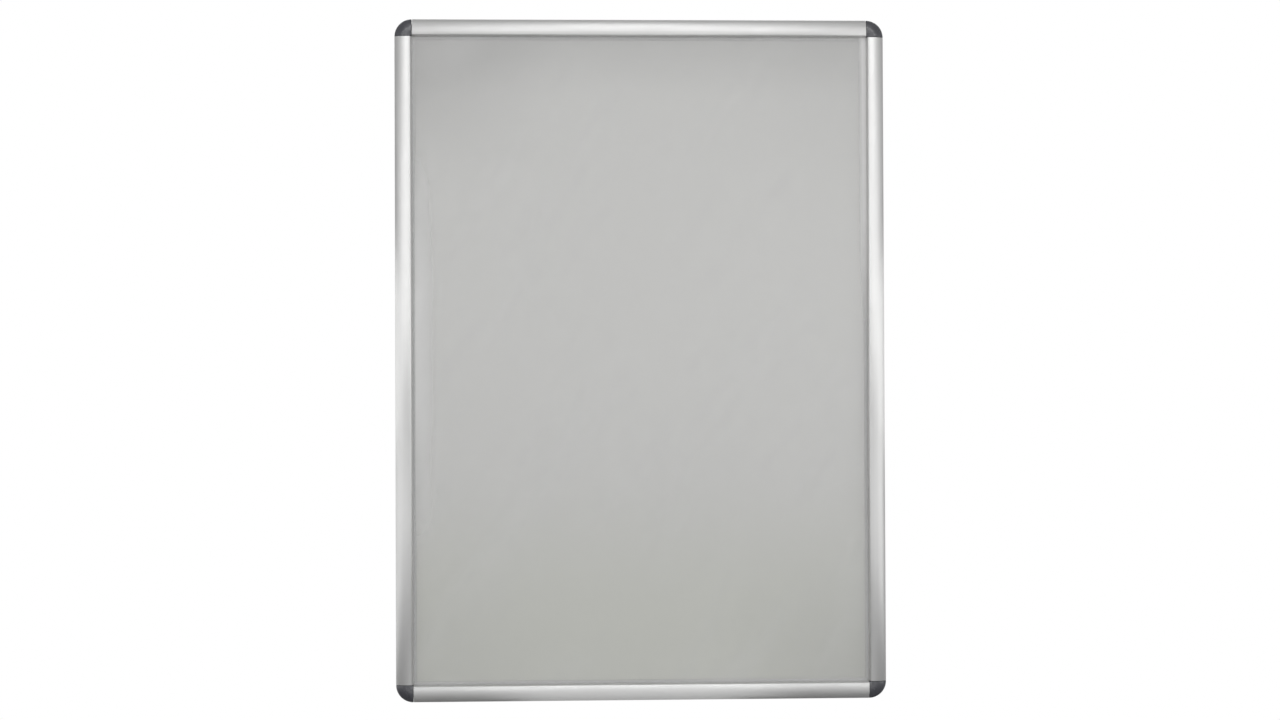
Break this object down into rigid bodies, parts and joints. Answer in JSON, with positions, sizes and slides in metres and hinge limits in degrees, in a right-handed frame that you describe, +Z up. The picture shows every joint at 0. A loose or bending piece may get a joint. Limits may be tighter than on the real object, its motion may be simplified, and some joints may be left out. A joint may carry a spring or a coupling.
{
  "type": "snap-open poster frame",
  "caption": "Wall poster frame in satin aluminium: rounded rails hinge open on their outer edges, between domed plastic corner caps, over a clear sheet and a grey backing panel.",
  "frame": {"origin": "centre of the wall plane, on which the base rails' flat backs lie", "axes": "+Z up along the long sides, front towards -Y, +X to the right seen from the front"},
  "size_m": [0.635, 0.014, 0.882],
  "materials": {
    "satin_aluminium": "satin",
    "spring_steel": "satin",
    "anthracite_plastic": "satin",
    "zinc_plated_steel": "satin",
    "grey_board": "matte",
    "clear_plastic": "satin"
  },
  "bodies": {
    "frame": {"base_rail_top": "satin_aluminium", "base_rail_right": "satin_aluminium", "base_rail_bottom": "satin_aluminium", "base_rail_left": "satin_aluminium", "leaf_spring_top_1": "spring_steel", "leaf_spring_top_2": "spring_steel", "leaf_spring_right_1": "spring_steel", "leaf_spring_right_2": "spring_steel", "leaf_spring_right_3": "spring_steel", "leaf_spring_bottom_1": "spring_steel", "leaf_spring_bottom_2": "spring_steel", "leaf_spring_left_1": "spring_steel", "leaf_spring_left_2": "spring_steel", "leaf_spring_left_3": "spring_steel", "corner_cap_top_right": "anthracite_plastic", "corner_cap_bottom_right": "anthracite_plastic", "corner_cap_bottom_left": "anthracite_plastic", "corner_cap_top_left": "anthracite_plastic", "corner_screw_top_right_1": "zinc_plated_steel", "corner_screw_top_right_2": "zinc_plated_steel", "corner_screw_bottom_right_1": "zinc_plated_steel", "corner_screw_bottom_right_2": "zinc_plated_steel", "corner_screw_bottom_left_1": "zinc_plated_steel", "corner_screw_bottom_left_2": "zinc_plated_steel", "corner_screw_top_left_1": "zinc_plated_steel", "corner_screw_top_left_2": "zinc_plated_steel", "backing_panel": "grey_board", "clear_sheet": "clear_plastic"},
    "top_rail": {"snap_rail_top": "satin_aluminium"},
    "right_rail": {"snap_rail_right": "satin_aluminium"},
    "bottom_rail": {"snap_rail_bottom": "satin_aluminium"},
    "left_rail": {"snap_rail_left": "satin_aluminium"}
  },
  "joints": [
    {"name": "top_rail_hinge", "type": "hinge", "parent": "frame", "child": "top_rail", "pos_m": [0, -0.0042, 0.4386], "axis": [-1, 0, 0], "range_deg": [0, 90], "deforming": ["leaf_spring_top_1", "leaf_spring_top_2"]},
    {"name": "right_rail_hinge", "type": "hinge", "parent": "frame", "child": "right_rail", "pos_m": [0.3151, -0.0042, 0], "axis": [0, 0, 1], "range_deg": [0, 90], "deforming": ["leaf_spring_right_1", "leaf_spring_right_2", "leaf_spring_right_3"]},
    {"name": "bottom_rail_hinge", "type": "hinge", "parent": "frame", "child": "bottom_rail", "pos_m": [0, -0.0042, -0.4386], "axis": [1, 0, 0], "range_deg": [0, 90], "deforming": ["leaf_spring_bottom_1", "leaf_spring_bottom_2"]},
    {"name": "left_rail_hinge", "type": "hinge", "parent": "frame", "child": "left_rail", "pos_m": [-0.3151, -0.0042, 0], "axis": [0, 0, -1], "range_deg": [0, 90], "deforming": ["leaf_spring_left_1", "leaf_spring_left_2", "leaf_spring_left_3"]}
  ]
}
